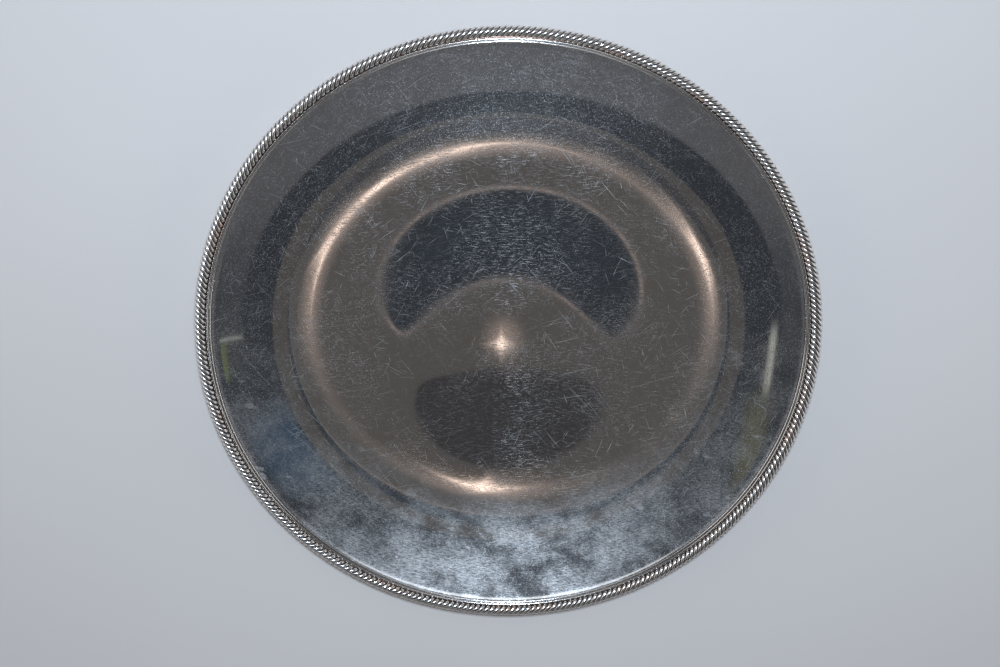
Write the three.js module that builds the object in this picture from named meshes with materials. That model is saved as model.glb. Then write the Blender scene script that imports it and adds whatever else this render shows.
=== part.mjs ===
// A round silver salver: a dish spun from sheet, a rope border soldered on its edge in nine
// struck lengths, a double reed inside the border, and a low collet foot underneath.
// Millimetres, +Z up. The origin is at the centre of the foot, on the surface it stands on.
import * as THREE from 'three';

// Driving dimensions
const rimRadius = 200; // crest of the rope's outermost lobe
const sheetThickness = 1.2;
const solderFilm = 0.1; // clearance between pieces that are soldered together
const clearUnderFoot = 9; // table to the underside of the dish at the foot

// The dish's upper surface, from its centre outwards, as stretches on which the slope grows
// steadily with the radius. A flat ledge under the border follows the last of them.
const dishStretches = [
  { part: 'flat of the well', toRadius: 66, toSlopeDeg: 0.5, steps: 1 },
  { part: 'edge of the well', toRadius: 114, toSlopeDeg: 2.4, steps: 1 },
  { part: 'foot of the bouge', toRadius: 138, toSlopeDeg: 3.8, steps: 1 },
  { part: 'bouge', toRadius: 154, toSlopeDeg: 9.5, steps: 2 },
  { part: 'flange', toRadius: 186.5, toSlopeDeg: 12, steps: 1 },
  { part: 'cove at the border', toRadius: 189.3, toSlopeDeg: 30, steps: 2 },
];
const ledgeOuterRadius = 198.4;

// The rope border
const ropeLengths = 9;
const lobesPerLength = 39;
const ropeInnerRadius = 193.1;
const ropeHeight = 3.5;
const ropeInnerHeight = 2.9;
const ropeCrestHeight = 0.3; // the outermost crest stands this far above the ledge
const ropeShoulder = 2.4; // the rope's full height stops this far inside its outermost crest
const ropeLip = 2.4; // how far the border hangs down over the edge of the sheet
const lipThickness = 0.6;
const grooveDepth = 0.8;
const lobeLean = 1.8; // lobe pitches that a lobe leans over, from its inner to its outer end

// The double reed
const reedLengths = 3;
const reedInnerRadius = 189.7;
const reedOuterRadius = 192.8;
const reedHeight = 1.2;
const reedRounding = 0.3;
const outerReedWidth = 1.5;
const innerReedWidth = 1.2;
const innerReedHeight = 0.8;
const reedGrooveHeight = 0.3; // bottom of the groove between the two ridges

// The foot
const footTopRadius = 112;
const footWaistRadius = 113;
const footBaseRadius = 114.6;
const footWireInnerRadius = 113.4;
const footWireOuterRadius = 117;
const footWireHeight = 1.6;
const footWireRounding = 0.6;

// The number of flat facets round each turned piece
const turnedSides = 72;

const silver = { color: 0xb9b6b2, metalness: 1, roughness: 0.12 };

// One stretch of the dish's upper surface. It continues the outline that it is given, and each
// point keeps the slope of the sheet there.
function addStretch(outline, { toRadius, toSlopeDeg, steps }) {
  const start = outline[outline.length - 1];
  const toSlope = THREE.MathUtils.degToRad(toSlopeDeg);
  for (let step = 1; step <= steps; step += 1) {
    const share = step / steps;
    const r = THREE.MathUtils.lerp(start.r, toRadius, share);
    const slope = THREE.MathUtils.lerp(start.slope, toSlope, share);
    const last = outline[outline.length - 1];
    const rise = (r - last.r) * Math.tan((slope + last.slope) / 2);
    outline.push({ r, z: last.z + rise, slope });
  }
}

// The height of an outline at a radius, read off the straight stretch between its points.
function heightAt(outline, radius) {
  const next = outline.findIndex((point) => point.r >= radius);
  const { r, z } = outline[next - 1];
  const share = (radius - r) / (outline[next].r - r);
  return THREE.MathUtils.lerp(z, outline[next].z, share);
}

// The dish's upper surface from the centre to the outer end of the cove, at the height at which
// its underside meets the foot.
function dishOutline() {
  const shape = [{ r: 0, z: 0, slope: 0 }];
  dishStretches.forEach((stretch) => addStretch(shape, stretch));
  const rise = clearUnderFoot + sheetThickness - heightAt(shape, footTopRadius);
  return shape.map((point) => ({ ...point, z: point.z + rise }));
}

// A ring or disc turned from a closed section, given anticlockwise as [radius, height] pairs.
function turned(section) {
  const profile = section.map(([r, z]) => new THREE.Vector2(r, z));
  if (section[0][0] > 0) {
    profile.push(profile[0].clone());
  }
  return new THREE.LatheGeometry(profile, turnedSides).rotateX(Math.PI / 2);
}

// A straight strip drawn to a section of [radius, height] pairs, then bent round the centre
// through one share of the circle. shape gives each point's radius, height and lean in radians.
function bentStrip(section, steps, index, count, shape) {
  const outline = new THREE.Shape(section.map(([r, z]) => new THREE.Vector2(r, z)));
  const strip = new THREE.ExtrudeGeometry(outline, { depth: steps, steps, bevelEnabled: false });
  const points = strip.getAttribute('position');
  const endGap = solderFilm / 2 / rimRadius;
  const span = (2 * Math.PI) / count;
  for (let i = 0; i < points.count; i += 1) {
    const step = Math.round(points.getZ(i));
    const { r, z, lean } = shape(points.getX(i), points.getY(i), step);
    const share = step / steps;
    const angle = -index * span - endGap - share * (span - 2 * endGap) - lean;
    points.setXYZ(i, r * Math.cos(angle), r * Math.sin(angle), z);
  }
  strip.computeVertexNormals();
  return strip;
}

// The dish: one disc of sheet, spun to shape.
function dishBody(outline) {
  const ledgeHeight = outline[outline.length - 1].z;
  const top = outline.map(({ r, z }) => [r, z]);
  const under = outline.map(({ r, z, slope }) => [
    r === 0 ? 0 : r + sheetThickness * Math.sin(slope),
    z - sheetThickness * Math.cos(slope),
  ]);
  under.push([ledgeOuterRadius, ledgeHeight - sheetThickness]);
  top.push([ledgeOuterRadius, ledgeHeight]);
  return turned([...under, ...top.reverse()]);
}

// One length of the rope border. Every second step of the strip is a groove, and both ridges
// and grooves lean over clockwise on their way out.
function ropeLength(index, seatHeight) {
  const pitch = (2 * Math.PI) / (ropeLengths * lobesPerLength);
  const lipInnerRadius = rimRadius - 2 * lipThickness;
  const section = [
    [ropeInnerRadius, 0],
    [lipInnerRadius, 0],
    [lipInnerRadius, -ropeLip],
    [rimRadius - lipThickness, -ropeLip],
    [rimRadius, ropeCrestHeight],
    [rimRadius - ropeShoulder, ropeHeight],
    [ropeInnerRadius + ropeShoulder / 2, ropeInnerHeight],
  ];
  const middle = new THREE.Vector2((ropeInnerRadius + rimRadius) / 2, 0);
  const press = (r, z, step) => {
    const point = new THREE.Vector2(r, z);
    const isGroove = step % 2 === 1 && z > 0;
    if (isGroove) {
      point.sub(middle);
      point.setLength(point.length() - grooveDepth);
      point.add(middle);
    }
    const share = (r - ropeInnerRadius) / (rimRadius - ropeInnerRadius);
    return { r: point.x, z: seatHeight + point.y, lean: share * lobeLean * pitch };
  };
  return bentStrip(section, 2 * lobesPerLength, index, ropeLengths, press);
}

// One length of the double reed: two rounded ridges with a groove between them.
function reedLength(index, seatHeight) {
  const section = [
    [reedInnerRadius, 0],
    [reedOuterRadius, 0],
    [reedOuterRadius - reedRounding, reedHeight],
    [reedOuterRadius - outerReedWidth + reedRounding, reedHeight],
    [reedOuterRadius - outerReedWidth, reedGrooveHeight],
    [reedInnerRadius + innerReedWidth, reedGrooveHeight],
    [reedInnerRadius + innerReedWidth - reedRounding, innerReedHeight],
    [reedInnerRadius + reedRounding, innerReedHeight],
  ];
  const plain = (r, z) => ({ r, z: seatHeight + z, lean: 0 });
  return bentStrip(section, turnedSides / reedLengths, index, reedLengths, plain);
}

// The foot's collet: a strip bent to a ring, soldered at its ends and flared towards the base.
function footCollet() {
  const halfWall = sheetThickness / 2;
  const base = footWireHeight + solderFilm;
  const top = clearUnderFoot - 2 * solderFilm;
  const waist = (base + top) / 2;
  return turned([
    [footBaseRadius - halfWall, base],
    [footBaseRadius + halfWall, base],
    [footWaistRadius + halfWall, waist],
    [footTopRadius + halfWall, top],
    [footTopRadius - halfWall, top],
    [footWaistRadius - halfWall, waist],
  ]);
}

// The wire under the collet: flat below, where the salver stands, and rounded outside.
function footWire() {
  return turned([
    [footWireInnerRadius, 0],
    [footWireOuterRadius - footWireRounding, 0],
    [footWireOuterRadius, footWireHeight / 2],
    [footWireOuterRadius - footWireRounding, footWireHeight],
    [footWireInnerRadius, footWireHeight],
  ]);
}

const salver = new THREE.Group();

function addPiece(name, geometry) {
  const material = new THREE.MeshStandardMaterial(silver);
  const piece = new THREE.Mesh(geometry, material);
  piece.name = name;
  salver.add(piece);
}

const outline = dishOutline();
const seatHeight = outline[outline.length - 1].z + solderFilm;

addPiece('dish_body', dishBody(outline));
for (let index = 0; index < ropeLengths; index += 1) {
  addPiece(`rope_border_${index + 1}`, ropeLength(index, seatHeight));
}
for (let index = 0; index < reedLengths; index += 1) {
  addPiece(`reed_wire_${index + 1}`, reedLength(index, seatHeight));
}
addPiece('foot_collet', footCollet());
addPiece('foot_wire', footWire());

export default salver;
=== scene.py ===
# A round silver salver: a shallow spun dish, a struck rope border in nine lengths, a double reed
# inside the border and a low collet foot. It stands on a pale studio floor. Metres, +Z up.
import math

import bpy
from mathutils import Euler, Matrix, Vector


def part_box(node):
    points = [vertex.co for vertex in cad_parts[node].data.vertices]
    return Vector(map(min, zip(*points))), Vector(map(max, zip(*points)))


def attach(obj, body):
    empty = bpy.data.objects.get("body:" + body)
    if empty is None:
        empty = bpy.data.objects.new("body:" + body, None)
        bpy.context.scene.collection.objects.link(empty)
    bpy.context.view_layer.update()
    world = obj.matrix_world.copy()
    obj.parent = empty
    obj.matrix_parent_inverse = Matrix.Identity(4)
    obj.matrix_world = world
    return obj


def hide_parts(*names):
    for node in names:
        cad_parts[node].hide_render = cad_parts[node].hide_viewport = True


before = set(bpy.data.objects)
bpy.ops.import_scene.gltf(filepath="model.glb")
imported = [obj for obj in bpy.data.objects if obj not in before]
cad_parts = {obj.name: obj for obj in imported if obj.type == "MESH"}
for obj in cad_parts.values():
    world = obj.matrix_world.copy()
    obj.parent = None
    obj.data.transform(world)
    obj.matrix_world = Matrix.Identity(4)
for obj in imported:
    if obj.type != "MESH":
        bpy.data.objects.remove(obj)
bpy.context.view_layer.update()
mm = 0.001


# ---- The dish ------------------------------------------------------------------------------
# One disc of silver sheet, spun over a former to a nearly flat well, a soft bouge and a straight
# flange that turns up in a small cove at the border. It is polished to a mirror on top, with
# years of hand wear in it, and left as it came from the lathe underneath.
sheet = 1.2 * mm
ledge_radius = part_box("dish_body")[1].x
ledge_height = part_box("dish_body")[1].z
dish_sides = 288
merge_within = 0.01 * mm
least_upward = 0.2  # a face whose normal rises less than this belongs to the edge or underside

# Each stretch runs to a radius, where the sheet has reached a slope in degrees, in so many rings.
stretches = [
    (66 * mm, 0.5, 9),
    (114 * mm, 2.4, 10),
    (138 * mm, 3.8, 8),
    (154 * mm, 9.5, 9),
    (186.5 * mm, 12.0, 10),
    (189.3 * mm, 30.0, 6),
]


def dish_outline():
    """The upper surface, as (radius, height) from the middle to the edge of the ledge."""
    points = [(0.0, 0.0)]
    slope = 0.0
    for to_radius, to_slope, rings in stretches:
        from_radius, from_slope = points[-1][0], slope
        for ring in range(1, rings + 1):
            share = ring / rings
            radius = from_radius + (to_radius - from_radius) * share
            next_slope = from_slope + (to_slope - from_slope) * share
            middle = math.radians((slope + next_slope) / 2)
            rise = (radius - points[-1][0]) * math.tan(middle)
            points.append((radius, points[-1][1] + rise))
            slope = next_slope
    points.append((ledge_radius, points[-1][1]))
    lift = ledge_height - points[-1][1]
    return [(radius, height + lift) for radius, height in points]


def pick_none():
    if bpy.context.object and bpy.context.object.mode == "EDIT":
        bpy.ops.object.mode_set(mode="OBJECT")
    bpy.ops.object.select_all(action="DESELECT")


def draw_section(name, points, closed):
    """Starts a piece in edit mode as a wire through the points, each extruded from the last.

    A closed section is joined up by an edge between the wire's two ends.
    """
    pick_none()
    bpy.ops.mesh.primitive_plane_add(size=mm, location=(0, 0, 0))
    piece = bpy.context.object
    piece.name = piece.data.name = name
    bpy.ops.object.mode_set(mode="EDIT")
    bpy.ops.mesh.select_all(action="SELECT")
    bpy.ops.mesh.merge(type="CENTER")
    at = Vector(points[0])
    bpy.ops.transform.translate(value=at)
    for point in points[1:]:
        step = Vector(point) - at
        bpy.ops.mesh.extrude_region_move(TRANSFORM_OT_translate={"value": step})
        at = Vector(point)
    if closed:
        wire_ends = {0, len(points) - 1}
        bpy.ops.mesh.select_all(action="DESELECT")
        bpy.ops.object.mode_set(mode="OBJECT")
        for vertex in piece.data.vertices:
            vertex.select = vertex.index in wire_ends
        bpy.ops.object.mode_set(mode="EDIT")
        bpy.ops.mesh.select_mode(type="VERT")
        bpy.ops.mesh.edge_face_add()
    bpy.ops.mesh.select_all(action="SELECT")
    return piece


def close_up(piece):
    """Merges the doubles, caps what is open, turns the faces out and leaves edit mode."""
    bpy.ops.mesh.select_all(action="SELECT")
    bpy.ops.mesh.remove_doubles(threshold=merge_within)
    bpy.ops.mesh.select_all(action="DESELECT")
    bpy.ops.mesh.select_non_manifold(
        use_wire=False, use_boundary=True, use_multi_face=False,
        use_non_contiguous=False, use_verts=False,
    )
    if piece.data.total_vert_sel:
        bpy.ops.mesh.edge_face_add()
    bpy.ops.mesh.select_all(action="SELECT")
    bpy.ops.mesh.normals_make_consistent(inside=False)
    bpy.ops.object.mode_set(mode="OBJECT")


def spin_section(sides, angle=2 * math.pi):
    bpy.ops.mesh.spin(steps=sides, angle=angle, center=(0, 0, 0), axis=(0, 0, 1))


def smooth(piece, sharper_than):
    """Shades the piece smooth, apart from edges that turn by more degrees than that."""
    pick_none()
    piece.select_set(True)
    bpy.context.view_layer.objects.active = piece
    bpy.ops.object.shade_smooth_by_angle(angle=math.radians(sharper_than))


def apply_modifier(piece, kind, **settings):
    pick_none()
    piece.select_set(True)
    bpy.context.view_layer.objects.active = piece
    modifier = piece.modifiers.new(kind.title(), kind)
    for name, value in settings.items():
        setattr(modifier, name, value)
    bpy.ops.object.modifier_apply(modifier=modifier.name)


def facing_up(piece):
    """True when the mesh's highest face points up."""
    top = max(piece.data.polygons, key=lambda face: face.center.z)
    return top.normal.z > 0


dish = draw_section("dish", [(r, 0, z) for r, z in dish_outline()], closed=False)
spin_section(dish_sides)
bpy.ops.mesh.select_all(action="SELECT")
bpy.ops.mesh.remove_doubles(threshold=merge_within)
bpy.ops.mesh.normals_make_consistent(inside=False)
bpy.ops.object.mode_set(mode="OBJECT")
if not facing_up(dish):
    bpy.ops.object.mode_set(mode="EDIT")
    bpy.ops.mesh.select_all(action="SELECT")
    bpy.ops.mesh.flip_normals()
    bpy.ops.object.mode_set(mode="OBJECT")
apply_modifier(dish, "SOLIDIFY", thickness=sheet, offset=-1, use_even_offset=True)
smooth(dish, sharper_than=40)


class Value:
    """One socket of a shader, so that sums on it are written as plain arithmetic."""

    def __init__(self, tree, socket=None):
        self.tree = tree
        self.socket = socket

    def node(self, kind, settings=None, inputs=None, output=0):
        """Adds any node: its settings first, then the values or links of its sockets."""
        made = self.tree.nodes.new(kind)
        for name, setting in (settings or {}).items():
            setattr(made, name, setting)
        for name, given in (inputs or {}).items():
            if isinstance(given, Value):
                self.tree.links.new(given.socket, made.inputs[name])
            else:
                made.inputs[name].default_value = given
        if made.outputs:
            return Value(self.tree, made.outputs[output])

    def math(self, operation, first, second=0.0):
        return self.node("ShaderNodeMath", {"operation": operation}, {0: first, 1: second})

    def __add__(self, other):
        return self.math("ADD", self, other)

    def __radd__(self, other):
        return self.math("ADD", other, self)

    def __sub__(self, other):
        return self.math("SUBTRACT", self, other)

    def __rsub__(self, other):
        return self.math("SUBTRACT", other, self)

    def __mul__(self, other):
        return self.math("MULTIPLY", self, other)

    def __rmul__(self, other):
        return self.math("MULTIPLY", other, self)

    def __truediv__(self, other):
        return self.math("DIVIDE", self, other)

    def __pow__(self, other):
        return self.math("POWER", self, other)

    def size(self):
        return self.math("ABSOLUTE", self)

    def or_more(self, other):
        return self.math("MAXIMUM", self, other)

    def at_most(self, limit):
        return self.math("MINIMUM", self, limit)

    def over(self, low, high):
        """Rises smoothly from 0 at low to 1 at high."""
        return self.node(
            "ShaderNodeMapRange",
            {"interpolation_type": "SMOOTHSTEP"},
            {"Value": self, "From Min": low, "From Max": high},
        )

    def between(self, low, high, soft):
        """1 between low and high, with an edge as wide as soft on both sides."""
        return self.over(low - soft, low + soft) * (1 - self.over(high - soft, high + soft))

    def part(self, axis):
        return self.node("ShaderNodeSeparateXYZ", None, {0: self}, "XYZ".index(axis))

    def placed(self, scale=(1, 1, 1), turned=0.0, moved=(0, 0, 0)):
        """A place in a pattern that is turned in degrees and moved first, and scaled after that."""
        turn = Euler((0, 0, math.radians(turned)))
        there = {"Vector": self, "Rotation": turn, "Location": moved}
        return self.node(
            "ShaderNodeMapping",
            None,
            {"Vector": self.node("ShaderNodeMapping", None, there), "Scale": scale},
        )

    def noise(self, scale, detail=2.0, roughness=0.5):
        return self.node(
            "ShaderNodeTexNoise",
            None,
            {"Vector": self, "Scale": scale, "Detail": detail, "Roughness": roughness},
        )

    def tint(self, colour, amount):
        """This colour, changed to another by an amount from 0 to 1."""
        # Sockets 0, 6 and 7 are the factor and the two colours, and output 2 is the colour
        return self.node(
            "ShaderNodeMix",
            {"data_type": "RGBA"},
            {0: amount, 6: self, 7: colour if isinstance(colour, Value) else (*colour, 1)},
            2,
        )

    def plain(self, colour):
        """A colour to start from."""
        return self.node("ShaderNodeCombineXYZ", None, dict(zip("XYZ", colour)))

    def from_axis(self):
        """How far this place is from the dish's axis."""
        x, y = self.part("X"), self.part("Y")
        return (x * x + y * y) ** 0.5

    def round_axis(self, outward, scale):
        """A place whose patterns are drawn out round the axis, finer the larger outward is."""
        x, y, radius = self.part("X"), self.part("Y"), self.from_axis()
        rounded = {"X": x / radius * scale, "Y": y / radius * scale, "Z": outward}
        return self.node("ShaderNodeCombineXYZ", None, rounded)

    def bumps(self, strength, depth, under=None):
        """A normal that this height lifts or sinks, on top of the one that is given."""
        inputs = {"Strength": strength, "Distance": depth, "Height": self}
        if under:
            inputs["Normal"] = under
        return self.node("ShaderNodeBump", None, inputs)

    def metal(self, roughness, normal, **constants):
        """Metal of this colour."""
        inputs = {"Base Color": self, "Metallic": 1.0, "Roughness": roughness, "Normal": normal}
        return self.node("ShaderNodeBsdfPrincipled", None, inputs | constants)

    def mixed(self, other, amount):
        """This shader, changed to another by an amount from 0 to 1."""
        return self.node("ShaderNodeMixShader", None, {0: amount, 1: self, 2: other})


def new_material(name):
    material = bpy.data.materials.new(name)
    material.use_nodes = True
    material.node_tree.nodes.clear()
    return material, Value(material.node_tree)


def finish_material(start, shader):
    start.node("ShaderNodeOutputMaterial", None, {"Surface": shader})


def polished_silver():
    """Mirror-polished sheet under fine hair scratches that scatter a little light."""
    material, start = new_material("polished_silver")
    place = start.node("ShaderNodeTexCoord", None, None, "Object")
    y = place.part("Y")
    radius = place.from_axis()
    flange = radius.over(106 * mm, 150 * mm)
    wear = place.noise(22, 3, 0.6).over(0.36, 0.68)
    handled = 1 - y.over(-150 * mm, 60 * mm)

    # Hair scratches: level strokes in the well, rings on the flange, and stray ones that cross
    # them every way. None is quite straight.
    drift = start.node(
        "ShaderNodeTexNoise", None, {"Vector": place, "Scale": 16.0, "Detail": 1.0}, "Color"
    )
    bent = start.node(
        "ShaderNodeVectorMath",
        {"operation": "MULTIPLY_ADD"},
        {0: drift, 1: (12 * mm, 12 * mm, 0.0), 2: place},
    )
    level = bent.placed((170, 1700, 1)).noise(1, 3, 0.65).over(0.55, 0.66)
    rings = place.round_axis(radius * 1900, 25).noise(1, 3, 0.65).over(0.54, 0.66)
    stray = bent.placed((50, 2000, 1), 28).noise(1, 2).over(0.68, 0.75)
    for turned, length, moved in (
        (-37, 40, (3, 7, 0)), (76, 70, (11, 2, 0)), (118, 45, (5, 9, 0)), (8, 60, (8, 4, 0)),
        (52, 20, (2, 13, 0)), (-14, 16, (9, 9, 0)),
    ):
        more = bent.placed((length, 1900, 1), turned, moved).noise(1, 2).over(0.68, 0.75)
        stray = stray.or_more(more)
    stray = stray * (0.3 + 0.7 * place.noise(30, 2, 0.6).over(0.35, 0.7))
    specks = place.noise(1300, 3, 0.6).over(0.58, 0.66)
    in_well = level * 0.8 * (0.2 + 0.8 * wear)
    clouds = place.placed((1, 1.2, 1), 20, (1.7, 0.4, 0)).noise(34, 5, 0.62).over(0.30, 0.70)
    on_flange = (specks + rings * 0.5) * (0.3 + 0.7 * clouds) * (0.5 + 0.5 * handled)
    scratches = in_well * (1 - flange) + on_flange * flange

    # Polish that dried in patches on the flange, nicks that catch the light from any side, and
    # a veil of very fine wear where the salver is handled
    smears = place.placed((40, 75, 1), 25, (1.7, 0.4, 0)).noise(1, 4, 0.7).over(0.60, 0.68)
    nicks = specks * (0.3 + 0.7 * wear) * 0.32
    bloom = 0.01 + stray * 0.55 + nicks + level * wear * 0.10 + 0.3 * smears * flange * handled
    fine = bent.placed((300, 1600, 1), 8).noise(1, 4, 0.75).over(0.38, 0.64)
    veil = (0.04 + 0.74 * clouds * (0.15 + 0.85 * fine) * handled) * flange

    hills = place.noise(14, 2, 0.5).bumps(1.0, 0.008 * mm)
    grain = (scratches + stray).bumps(0.12, 0.01 * mm, hills)
    brown_line = radius.over(189.3 * mm, 189.7 * mm)
    silver = start.plain((0.93, 0.92, 0.905)).tint((0.16, 0.075, 0.04), brown_line * 0.85)
    mirror = silver.metal(0.012 + 0.02 * wear, grain)
    haze = silver.metal(0.55, hills)
    glow = silver.metal(0.45, hills, **{"Anisotropic": 0.6, "Anisotropic Rotation": 0.25})
    worn = mirror.mixed(haze, bloom.at_most(0.9))
    share = (veil + scratches * (0.42 + 0.40 * flange)).at_most(0.9)
    finish_material(start, worn.mixed(glow, share))
    return material


def turned_silver():
    """The underside: concentric marks of the spinning tool, a little dull and stained."""
    material, start = new_material("turned_silver")
    place = start.node("ShaderNodeTexCoord", None, None, "Object")
    wander = place.noise(30, 2) * 0.6 * mm
    marks = start.node("ShaderNodeCombineXYZ", None, {"X": (place.from_axis() + wander) * 900})
    marks = marks.noise(1, 4, 0.7)
    stains = place.noise(18, 4, 0.6).over(0.45, 0.75)
    silver = start.plain((0.86, 0.84, 0.80)).tint((0.55, 0.44, 0.32), stains * 0.45)
    roughness = 0.24 + 0.16 * stains + 0.1 * marks
    finish_material(start, silver.metal(roughness, marks.bumps(0.5, 0.02 * mm)))
    return material


dish.data.materials.append(polished_silver())
dish.data.materials.append(turned_silver())
for face in dish.data.polygons:
    is_upper = face.normal.z > least_upward
    face.material_index = 0 if is_upper else 1
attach(dish, "root")
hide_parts("dish_body")


# ---- The rope border -----------------------------------------------------------------------
# A strip of silver struck in a die to a rope of leaning lobes, bent round the ledge in nine
# lengths of 39 lobes and soldered down. Its outer side hangs over the edge of the sheet.
rope_lengths = 9
lobes_in_length = 39
solder = 0.1 * mm
seat = ledge_height + solder
lobe_pitch = 2 * math.pi / (rope_lengths * lobes_in_length)
rope_gap = solder / 2 / ledge_radius  # half of the hairline joint between two lengths
lobe_steps = 6
groove_narrowing = 0.66
lobe_lean = 1.8  # in pitches, from the inner to the outer end of a lobe
lean_curve = 1.2  # over 1, so that a lobe leans more towards its outer end
lobe_tip = 199.6 * mm
rope_middle = 196.5 * mm

# The lobe's section across the border, as (radius, height over the ledge) in millimetres
rope_section = [
    (193.1, 0.0),
    (193.2, 1.4),
    (194.1, 2.6),
    (195.6, 3.35),
    (197.2, 3.45),
    (198.7, 2.75),
    (199.7, 1.4),
    (200.0, -0.2),
    (199.8, -2.4),
    (199.0, -2.4),
    (199.0, 0.0),
]


def leaning(radius_mm, height_mm):
    """A point of the section, swung clockwise by the lobe's lean at that radius."""
    radius = radius_mm * mm
    inner = rope_section[0][0] * mm
    share = min(1.0, (radius - inner) / (lobe_tip - inner))
    angle = -lobe_lean * lobe_pitch * share**lean_curve
    return (radius * math.cos(angle), radius * math.sin(angle), seat + height_mm * mm)


def lobe_fullness(step):
    """How full the lobe's section is at a step of its width: round on top, sharp at the grooves."""
    off_crest = abs(2 * step / lobe_steps - 1)
    return groove_narrowing + (1 - groove_narrowing) * math.sqrt(1 - off_crest**2)


def turn(angle):
    """Turns what is selected anticlockwise round the dish's axis."""
    bpy.ops.transform.rotate(value=-angle, orient_axis="Z", center_override=(0, 0, 0))


def swell(ratio):
    """Makes the section that is selected fuller round its own middle."""
    bpy.ops.transform.resize(value=(ratio, 1, ratio), center_override=(rope_middle, 0, seat))


length_angle = 2 * math.pi / rope_lengths - 2 * rope_gap
pitch_in_length = length_angle / lobes_in_length
rope = draw_section("rope_length_1", [leaning(r, z) for r, z in rope_section], closed=True)
swell(lobe_fullness(0))
for step in range(1, lobe_steps + 1):
    bpy.ops.mesh.extrude_region_move(TRANSFORM_OT_translate={"value": (0, 0, 0)})
    turn(-pitch_in_length / lobe_steps)
    swell(lobe_fullness(step) / lobe_fullness(step - 1))
bpy.ops.object.mode_set(mode="OBJECT")

# How deep each point lies in a groove, for the tarnish
depth = rope.data.attributes.new("groove", "FLOAT", "POINT")
for vertex in rope.data.vertices:
    step = vertex.index // len(rope_section)
    depth.data[vertex.index].value = abs(2 * step / lobe_steps - 1)

bpy.ops.object.empty_add(rotation=(0, 0, -pitch_in_length))
next_lobe = bpy.context.object
apply_modifier(
    rope,
    "ARRAY",
    count=lobes_in_length,
    use_relative_offset=False,
    use_object_offset=True,
    offset_object=next_lobe,
    use_merge_vertices=True,
    merge_threshold=merge_within,
)
bpy.data.objects.remove(next_lobe)
bpy.ops.object.mode_set(mode="EDIT")
close_up(rope)
smooth(rope, sharper_than=62)


def struck_silver():
    """Bright worn crests, with polish and tarnish left dark and coppery in the grooves."""
    material, start = new_material("border_silver")
    place = start.node("ShaderNodeTexCoord", None, None, "Object")
    groove = start.node("ShaderNodeAttribute", {"attribute_name": "groove"}, None, "Fac")
    dirt = groove.over(0.35, 0.95) * (0.65 + 0.5 * place.noise(60, 3, 0.6))
    inner_side = 1 - place.from_axis().over(194.5 * mm, 197.5 * mm)
    copper = place.noise(35, 2).over(0.5, 0.7) * inner_side
    silver = start.plain((0.93, 0.905, 0.875)).tint((0.06, 0.04, 0.03), dirt)
    silver = silver.tint((0.62, 0.34, 0.20), copper * groove.over(0.2, 0.8) * 0.6)
    pits = place.noise(2600, 3, 0.6).bumps(0.25, 0.03 * mm)
    finish_material(start, silver.metal(0.22 + 0.25 * dirt, pits))
    return material


rope.data.materials.append(struck_silver())
lengths = [rope]
for number in range(2, rope_lengths + 1):
    copy = bpy.data.objects.new(f"rope_length_{number}", rope.data.copy())
    bpy.context.collection.objects.link(copy)
    lengths.append(copy)
for index, length in enumerate(lengths):
    swing = -index * 2 * math.pi / rope_lengths - rope_gap
    length.data.transform(Matrix.Rotation(swing, 4, "Z"))
    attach(length, "root")
    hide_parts(f"rope_border_{index + 1}")


# ---- The double reed -----------------------------------------------------------------------
# Drawn silver wire with two rounded ridges, bent round inside the rope in three lengths and
# soldered to the ledge. Brown tarnish stays in the groove between the ridges, and painted
# shade darkens its outer edge beside the rope.
reed_lengths = 3
reed_sides = 96

# The section, as (radius, height over the ledge) in millimetres
reed_section = [
    (189.7, 0.0),
    (192.8, 0.0),
    (192.75, 0.7),
    (192.45, 1.1),
    (192.05, 1.2),
    (191.65, 1.1),
    (191.35, 0.75),
    (191.2, 0.35),
    (191.0, 0.35),
    (190.85, 0.6),
    (190.4, 0.8),
    (189.95, 0.65),
    (189.75, 0.35),
]


def reed_silver():
    """Drawn wire: bright ridges, tarnish in the groove and painted shade beside the rope."""
    material, start = new_material("reed_silver")
    place = start.node("ShaderNodeTexCoord", None, None, "Object")
    radius = place.from_axis()
    in_groove = radius.between(190.95 * mm, 191.3 * mm, 0.12 * mm)
    # Painted shade: the outer edge is darkened where the rope stands beside it
    painted_rope_shade = radius.over(192.5 * mm, 192.8 * mm)
    # Real tarnish in the groove and painted shade beside the rope, in one mask
    tarnish_and_shade = (in_groove * 0.6).or_more(painted_rope_shade) * (0.5 + 0.6 * place.noise(45, 3, 0.6))
    silver = start.plain((0.93, 0.91, 0.885)).tint((0.17, 0.09, 0.055), tarnish_and_shade)
    lines = place.round_axis(radius * 9000, 20).noise(1, 3, 0.6).bumps(0.2, 0.02 * mm)
    finish_material(start, silver.metal(0.13 + 0.25 * tarnish_and_shade, lines))
    return material


reed_finish = reed_silver()
for index in range(reed_lengths):
    points = [(r * mm, 0, seat + z * mm) for r, z in reed_section]
    reed = draw_section(f"reed_length_{index + 1}", points, closed=True)
    spin_section(reed_sides, 2 * math.pi / reed_lengths - 2 * rope_gap)
    close_up(reed)
    swing = -index * 2 * math.pi / reed_lengths - rope_gap
    reed.data.transform(Matrix.Rotation(swing, 4, "Z"))
    smooth(reed, sharper_than=50)
    reed.data.materials.append(reed_finish)
    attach(reed, "root")
    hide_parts(f"reed_wire_{index + 1}")


# ---- The collet foot -----------------------------------------------------------------------
# A strip of sheet bent to a ring, flared to its base, with a fillet of solder where it meets
# the dish. A half-round wire is soldered under it, and the salver stands on that.
foot_sides = 192

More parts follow.
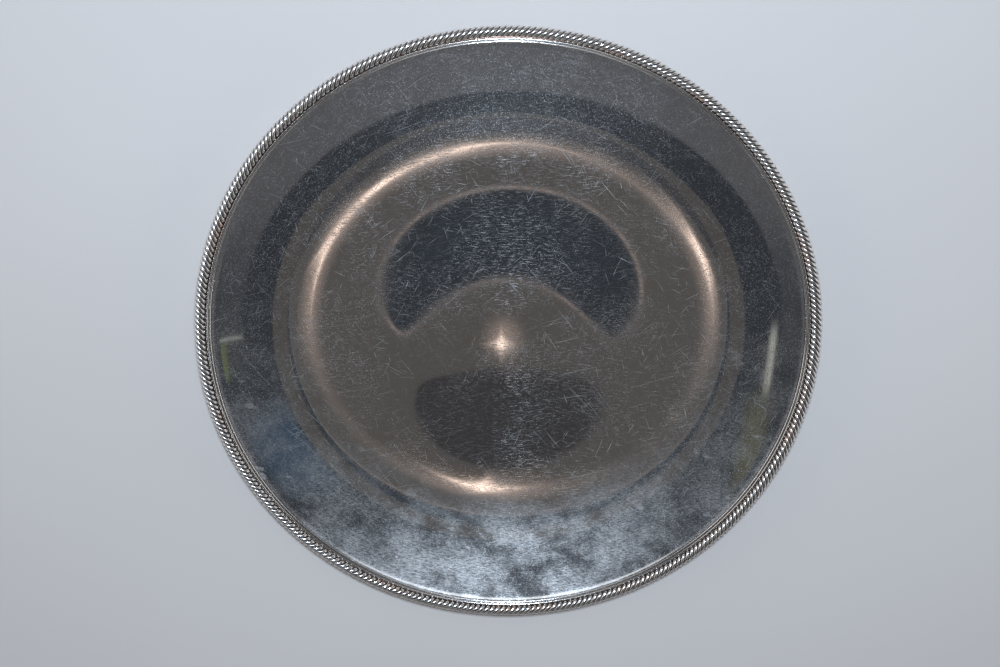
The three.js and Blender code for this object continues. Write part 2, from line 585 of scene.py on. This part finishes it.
# The sections, as (radius, height over the table) in millimetres
collet_section = [
    (110.9, 8.8),
    (111.25, 8.45),
    (111.4, 7.9),
    (111.75, 6.4),
    (112.35, 4.9),
    (113.1, 3.3),
    (113.7, 2.2),
    (114.0, 1.7),
    (115.2, 1.7),
    (114.9, 2.3),
    (114.3, 3.4),
    (113.55, 5.0),
    (112.95, 6.6),
    (112.6, 7.9),
    (112.75, 8.45),
    (113.1, 8.8),
]
wire_section = [
    (113.4, 0.0),
    (116.4, 0.0),
    (116.8, 0.2),
    (117.0, 0.8),
    (116.8, 1.35),
    (116.3, 1.6),
    (113.4, 1.6),
]


def foot_silver():
    """Plain silver that isn't polished as often: duller, stained, and scuffed where it stands."""
    material, start = new_material("foot_silver")
    place = start.node("ShaderNodeTexCoord", None, None, "Object")
    height = place.part("Z")
    stains = place.noise(40, 4, 0.6).over(0.42, 0.72)
    scuffs = place.placed((500, 90, 400), 30).noise(1, 3, 0.6).over(0.5, 0.7)
    near_table = 1 - height.over(0.2 * mm, 1.2 * mm)
    at_solder = height.over(8.0 * mm, 8.6 * mm)
    silver = start.plain((0.86, 0.84, 0.80)).tint((0.42, 0.31, 0.21), stains * 0.55)
    silver = silver.tint((0.60, 0.59, 0.57), at_solder * 0.7)
    silver = silver.tint((0.90, 0.89, 0.87), scuffs * near_table)
    drawn = place.round_axis(height * 4000, 15).noise(1, 3, 0.6)
    lines = (drawn + scuffs).bumps(0.3, 0.02 * mm)
    roughness = 0.22 + 0.16 * stains + 0.2 * scuffs * near_table
    finish_material(start, silver.metal(roughness, lines))
    return material


foot_finish = foot_silver()
for name, node, section in (
    ("collet", "foot_collet", collet_section),
    ("foot_ring", "foot_wire", wire_section),
):
    piece = draw_section(name, [(r * mm, 0, z * mm) for r, z in section], closed=True)
    spin_section(foot_sides)
    close_up(piece)
    smooth(piece, sharper_than=50)
    piece.data.materials.append(foot_finish)
    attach(piece, "root")
    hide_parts(node)


# ---- Floor ---------------------------------------------------------------------------------
# A wide, round, pale studio floor. It is matt, and faintly mottled like painted board.
floor_radius = 9
pick_none()
bpy.ops.mesh.primitive_circle_add(vertices=96, radius=floor_radius, fill_type="NGON")
floor = bpy.context.object
floor.name = "floor"
floor_material, start = new_material("pale_floor")
mottle = start.node("ShaderNodeTexCoord", None, None, "Object").noise(3, 3)
paper = start.plain((0.66, 0.61, 0.57)).tint((0.73, 0.68, 0.64), mottle)
matt = {"Base Color": paper, "Roughness": 0.85}
finish_material(start, start.node("ShaderNodeBsdfPrincipled", None, matt))
floor.data.materials.append(floor_material)


# ---- Camera --------------------------------------------------------------------------------
# It looks down into the dish from 20 degrees off its axis, on the side that is upper in view,
# and from six rim radii away.
rim_centre = Vector((0, 0, seat + 0.3 * mm))
rim_radius = 0.2
away, aside, above = 5.922, -0.026, 0.012  # the camera's place, in rim radii
tilt = math.radians(20.27)
to_right = Vector((1, 0, 0))
to_top = Vector((0, math.cos(tilt), -math.sin(tilt)))
to_camera = Vector((0, math.sin(tilt), math.cos(tilt)))
camera = bpy.data.objects.new("camera", bpy.data.cameras.new("camera"))
bpy.context.collection.objects.link(camera)
camera_place = rim_centre + rim_radius * (aside * to_right + above * to_top + away * to_camera)
axes = Matrix((to_right, to_top, to_camera)).transposed().to_4x4()
camera.matrix_world = Matrix.Translation(camera_place) @ axes
camera.data.sensor_width = 36
camera.data.lens = 66.8
bpy.context.scene.camera = camera


# ---- Light ---------------------------------------------------------------------------------
# A small cool lamp hangs by the camera, with a soft box round it, and two large soft boxes
# stand at the sides. From the camera the dish mirrors none of them, only the dim studio overhead.
def soft_box(name, place, width, height, power, colour):
    """An even rectangle of light that faces the middle of the dish."""
    light = bpy.data.lights.new(name, "AREA")
    light.shape = "RECTANGLE"
    light.size, light.size_y = width, height
    light.energy = power
    light.color = colour
    box = bpy.data.objects.new(name, light)
    box.location = place
    box.rotation_euler = (-Vector(place)).to_track_quat("-Z", "Y").to_euler()
    bpy.context.collection.objects.link(box)


soft_box("left_box", (-2.2, 0.3, 1.0), 2.4, 1.5, 9, (1.0, 0.97, 0.93))
soft_box("right_box", (2.2, -0.2, 1.0), 2.4, 1.5, 7, (1.0, 0.98, 0.95))
lamp_place = rim_centre + rim_radius * (0.35 * to_top + 6.0 * to_camera)
soft_box("lamp", lamp_place, 0.10, 0.10, 13.5, (0.68, 0.82, 1.0))
over_tilt = math.radians(24)
over_distance = 1.35
over_place = (0, over_distance * math.sin(over_tilt), over_distance * math.cos(over_tilt))
soft_box("overhead_box", over_place, 1.0, 0.95, 1.3, (1.0, 0.98, 0.96))

# The studio overhead, laid out in degrees across and along from the direction that the middle
# of the dish mirrors. The nearly flat well magnifies the innermost few degrees.
world = bpy.data.worlds.new("studio")
world.use_nodes = True
world.node_tree.nodes.clear()
bpy.context.scene.world = world
start = Value(world.node_tree)
direction = start.node("ShaderNodeTexCoord", None, None, "Generated")
turned_back = {"Vector": direction, "Rotation": Euler((-tilt, 0, 0))}
mirrored = start.node("ShaderNodeMapping", None, turned_back)
ahead = mirrored.part("Z").or_more(0.05)
across = mirrored.part("X") / ahead * math.degrees(1)
along = mirrored.part("Y") / ahead * math.degrees(1)
off_axis = (across * across + along * along) ** 0.5

# A dark ceiling, with the warm round of a screen, the grey edge of a table beyond it, and a few
# coloured things at the sides
warm_round = (1 - off_axis.over(8.9, 9.2)) * along.over(-5.5, -5.3)
sky = start.plain((0.014, 0.016, 0.020)).tint((0.056, 0.050, 0.046), warm_round)
faded = (1 - 0.7 * along.over(-10.0, -2.0)) * (1 - along.over(0.0, 3.0))
sky = sky.tint((0.070, 0.069, 0.074), off_axis.over(12.35, 12.5) * faded)
from_curtain = ((across - 10.5) ** 2 + (along - 6.5) ** 2) ** 0.5
sky = sky.tint((0.025, 0.045, 0.075), 1 - from_curtain.over(1.0, 4.0))
window = across.between(13.6, 14.3, 0.15) * along.between(0.0, 2.2, 0.2)
sky = sky.tint((0.085, 0.100, 0.030), window)
sill = across.between(12.5, 14.5, 0.2) * along.between(-0.30, -0.10, 0.06)
sky = sky.tint((0.24, 0.25, 0.23), sill)
door_gap = across.between(-12.15, -11.75, 0.12) * along.between(-0.6, 3.2, 0.8)
sky = sky.tint((0.34, 0.34, 0.31), door_gap)
olive_cloth = across.between(-12.4, -11.0, 0.5) * along.between(3.4, 9.0, 1.4)
sky = sky.tint((0.060, 0.056, 0.028), olive_cloth)

# In the middle, a bell-shaped warm screen with a bright edge, dark above it and below the bench
sideways = across - 0.2
screen = start.plain((0.074, 0.068, 0.064))
under_bell = 1.15 - 0.255 * sideways**2 - along
screen = screen.tint((0.022, 0.027, 0.034), 1 - under_bell.over(-0.02, 0.02))
screen = screen.tint((0.24, 0.20, 0.185), under_bell.between(-0.02, 0.05, 0.02))
over_bench = along + 0.70 + 0.07 * sideways**2
screen = screen.tint((0.034, 0.032, 0.034), 1 - over_bench.over(-0.03, 0.03))
sky = sky.tint(screen, 1 - off_axis.over(3.0, 3.1))

# A small warm light on the screen, with four rays and a halo
halo = ((across - 0.15) ** 2 + (along + 0.03) ** 2) ** 0.5
sky = sky.tint((0.24, 0.19, 0.165), 1 - halo.over(0.0, 0.58))
rays = (across - 0.1).size() ** 0.4 + (along + 0.18).size() ** 0.4
sky = sky.tint((1.7, 1.32, 1.12), 1 - rays.over(0.40, 0.90))

# Plain grey farther off, and lighter walls near the floor
sky = sky.tint((0.075, 0.075, 0.080), off_axis.over(18.0, 45.0))
sky = sky.tint((0.30, 0.30, 0.31), 1 - direction.part("Z").over(0.12, 0.45))
background = start.node("ShaderNodeBackground", None, {"Color": sky, "Strength": 1.0})
start.node("ShaderNodeOutputWorld", None, {"Surface": background})
bpy.context.scene.view_settings.view_transform = "Standard"
